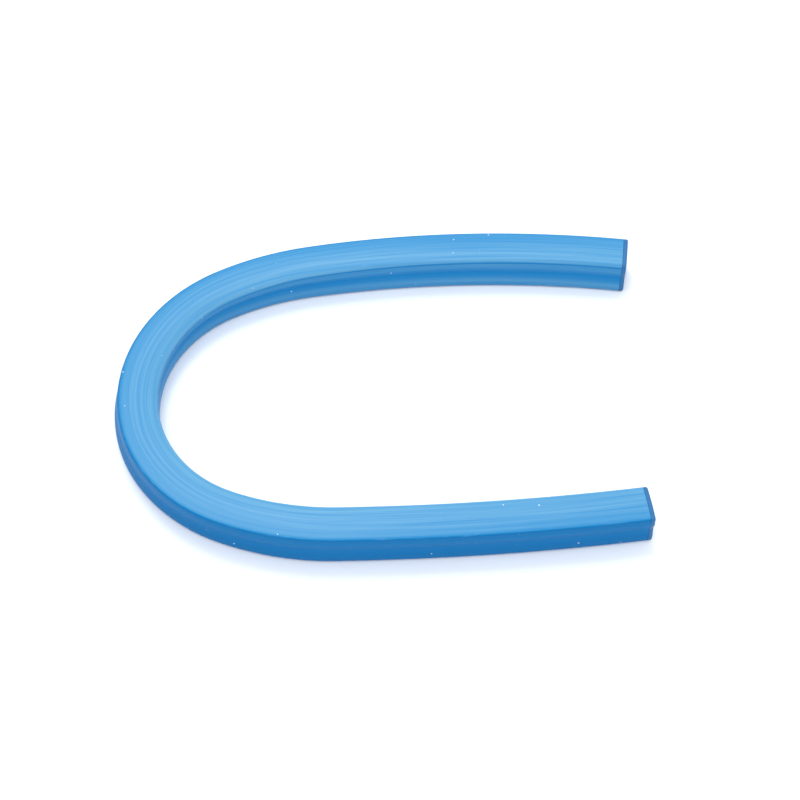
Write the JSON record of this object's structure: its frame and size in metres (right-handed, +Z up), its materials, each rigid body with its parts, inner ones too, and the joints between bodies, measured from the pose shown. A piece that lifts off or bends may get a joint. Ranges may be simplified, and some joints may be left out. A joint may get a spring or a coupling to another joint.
{
  "type": "flexible drawing curve",
  "caption": "Flexible drawing curve: a blue plastic strip with a lead and spring steel core that is bent by hand, keeps the bend and guides a pen.",
  "frame": {"origin": "under the middle of the whole outline, on the surface that the curve lies on", "axes": "+Z up, the bend of the U towards -X, its free ends towards +X, the longer leg on the +Y side"},
  "size_m": [0.1328, 0.0968, 0.01],
  "materials": {
    "blue_pvc": "semi-gloss extruded soft PVC, sky blue, fine lines along its length",
    "plug_pvc": "satin moulded PVC, a darker blue",
    "lead": "dull grey lead bar with a soft oxide bloom",
    "spring_steel": "rolled spring steel strip, fine grain along its length"
  },
  "bodies": {
    "segment_01": {"sheath_01": "blue_pvc", "lead_core_01": "lead", "inner_strip_01": "spring_steel", "outer_strip_01": "spring_steel", "end_plug_lower": "plug_pvc"},
    "segment_02": {"sheath_02": "blue_pvc", "lead_core_02": "lead", "inner_strip_02": "spring_steel", "outer_strip_02": "spring_steel"},
    "segment_03": {"sheath_03": "blue_pvc", "lead_core_03": "lead", "inner_strip_03": "spring_steel", "outer_strip_03": "spring_steel"},
    "segment_04": {"sheath_04": "blue_pvc", "lead_core_04": "lead", "inner_strip_04": "spring_steel", "outer_strip_04": "spring_steel"},
    "segment_05": {"sheath_05": "blue_pvc", "lead_core_05": "lead", "inner_strip_05": "spring_steel", "outer_strip_05": "spring_steel"},
    "segment_06": {"sheath_06": "blue_pvc", "lead_core_06": "lead", "inner_strip_06": "spring_steel", "outer_strip_06": "spring_steel"},
    "segment_07": {"sheath_07": "blue_pvc", "lead_core_07": "lead", "inner_strip_07": "spring_steel", "outer_strip_07": "spring_steel"},
    "segment_08": {"sheath_08": "blue_pvc", "lead_core_08": "lead", "inner_strip_08": "spring_steel", "outer_strip_08": "spring_steel"},
    "segment_09": {"sheath_09": "blue_pvc", "lead_core_09": "lead", "inner_strip_09": "spring_steel", "outer_strip_09": "spring_steel"},
    "segment_10": {"sheath_10": "blue_pvc", "lead_core_10": "lead", "inner_strip_10": "spring_steel", "outer_strip_10": "spring_steel"},
    "segment_11": {"sheath_11": "blue_pvc", "lead_core_11": "lead", "inner_strip_11": "spring_steel", "outer_strip_11": "spring_steel"},
    "segment_12": {"sheath_12": "blue_pvc", "lead_core_12": "lead", "inner_strip_12": "spring_steel", "outer_strip_12": "spring_steel"},
    "segment_13": {"sheath_13": "blue_pvc", "lead_core_13": "lead", "inner_strip_13": "spring_steel", "outer_strip_13": "spring_steel", "end_plug_upper": "plug_pvc"}
  },
  "joints": [
    {"name": "flex_01", "type": "hinge", "parent": "segment_02", "child": "segment_01", "pos_m": [0.04189, -0.04029, 0.005], "axis": [0, 0, 1], "range_deg": [-38.5, 34.3], "deforming": ["sheath_01", "lead_core_01", "inner_strip_01", "outer_strip_01", "sheath_02", "lead_core_02", "inner_strip_02", "outer_strip_02"]},
    {"name": "flex_02", "type": "hinge", "parent": "segment_03", "child": "segment_02", "pos_m": [0.01907, -0.04218, 0.005], "axis": [0, 0, 1], "range_deg": [-38.5, 34.3], "deforming": ["sheath_02", "lead_core_02", "inner_strip_02", "outer_strip_02", "sheath_03", "lead_core_03", "inner_strip_03", "outer_strip_03"]},
    {"name": "flex_03", "type": "hinge", "parent": "segment_04", "child": "segment_03", "pos_m": [-0.00379, -0.04323, 0.005], "axis": [0, 0, 1], "range_deg": [-42.4, 30.5], "deforming": ["sheath_03", "lead_core_03", "inner_strip_03", "outer_strip_03", "sheath_04", "lead_core_04", "inner_strip_04", "outer_strip_04"]},
    {"name": "flex_04", "type": "hinge", "parent": "segment_05", "child": "segment_04", "pos_m": [-0.02656, -0.04166, 0.005], "axis": [0, 0, 1], "range_deg": [-55.2, 17.6], "deforming": ["sheath_04", "lead_core_04", "inner_strip_04", "outer_strip_04", "sheath_05", "lead_core_05", "inner_strip_05", "outer_strip_05"]},
    {"name": "flex_05", "type": "hinge", "parent": "segment_06", "child": "segment_05", "pos_m": [-0.04727, -0.03242, 0.005], "axis": [0, 0, 1], "range_deg": [-70.5, 2.4], "deforming": ["sheath_05", "lead_core_05", "inner_strip_05", "outer_strip_05", "sheath_06", "lead_core_06", "inner_strip_06", "outer_strip_06"]},
    {"name": "flex_06", "type": "hinge", "parent": "segment_07", "child": "segment_06", "pos_m": [-0.05981, -0.01366, 0.005], "axis": [0, 0, 1], "range_deg": [-70.5, 2.4], "deforming": ["sheath_06", "lead_core_06", "inner_strip_06", "outer_strip_06", "sheath_07", "lead_core_07", "inner_strip_07", "outer_strip_07"]},
    {"name": "flex_07", "type": "hinge", "parent": "segment_07", "child": "segment_08", "pos_m": [-0.05969, 0.00889, 0.005], "axis": [0, 0, 1], "range_deg": [-2.4, 70.5], "deforming": ["sheath_07", "lead_core_07", "inner_strip_07", "outer_strip_07", "sheath_08", "lead_core_08", "inner_strip_08", "outer_strip_08"]},
    {"name": "flex_08", "type": "hinge", "parent": "segment_08", "child": "segment_09", "pos_m": [-0.04695, 0.02751, 0.005], "axis": [0, 0, 1], "range_deg": [-5.5, 67.4], "deforming": ["sheath_08", "lead_core_08", "inner_strip_08", "outer_strip_08", "sheath_09", "lead_core_09", "inner_strip_09", "outer_strip_09"]},
    {"name": "flex_09", "type": "hinge", "parent": "segment_09", "child": "segment_10", "pos_m": [-0.02641, 0.0373, 0.005], "axis": [0, 0, 1], "range_deg": [-21, 51.9], "deforming": ["sheath_09", "lead_core_09", "inner_strip_09", "outer_strip_09", "sheath_10", "lead_core_10", "inner_strip_10", "outer_strip_10"]},
    {"name": "flex_10", "type": "hinge", "parent": "segment_10", "child": "segment_11", "pos_m": [-0.00388, 0.04128, 0.005], "axis": [0, 0, 1], "range_deg": [-31.8, 41], "deforming": ["sheath_10", "lead_core_10", "inner_strip_10", "outer_strip_10", "sheath_11", "lead_core_11", "inner_strip_11", "outer_strip_11"]},
    {"name": "flex_11", "type": "hinge", "parent": "segment_11", "child": "segment_12", "pos_m": [0.01893, 0.04314, 0.005], "axis": [0, 0, 1], "range_deg": [-31.8, 41], "deforming": ["sheath_11", "lead_core_11", "inner_strip_11", "outer_strip_11", "sheath_12", "lead_core_12", "inner_strip_12", "outer_strip_12"]},
    {"name": "flex_12", "type": "hinge", "parent": "segment_12", "child": "segment_13", "pos_m": [0.04181, 0.04316, 0.005], "axis": [0, 0, 1], "range_deg": [-31.8, 41], "deforming": ["sheath_12", "lead_core_12", "inner_strip_12", "outer_strip_12", "sheath_13", "lead_core_13", "inner_strip_13", "outer_strip_13"]}
  ]
}
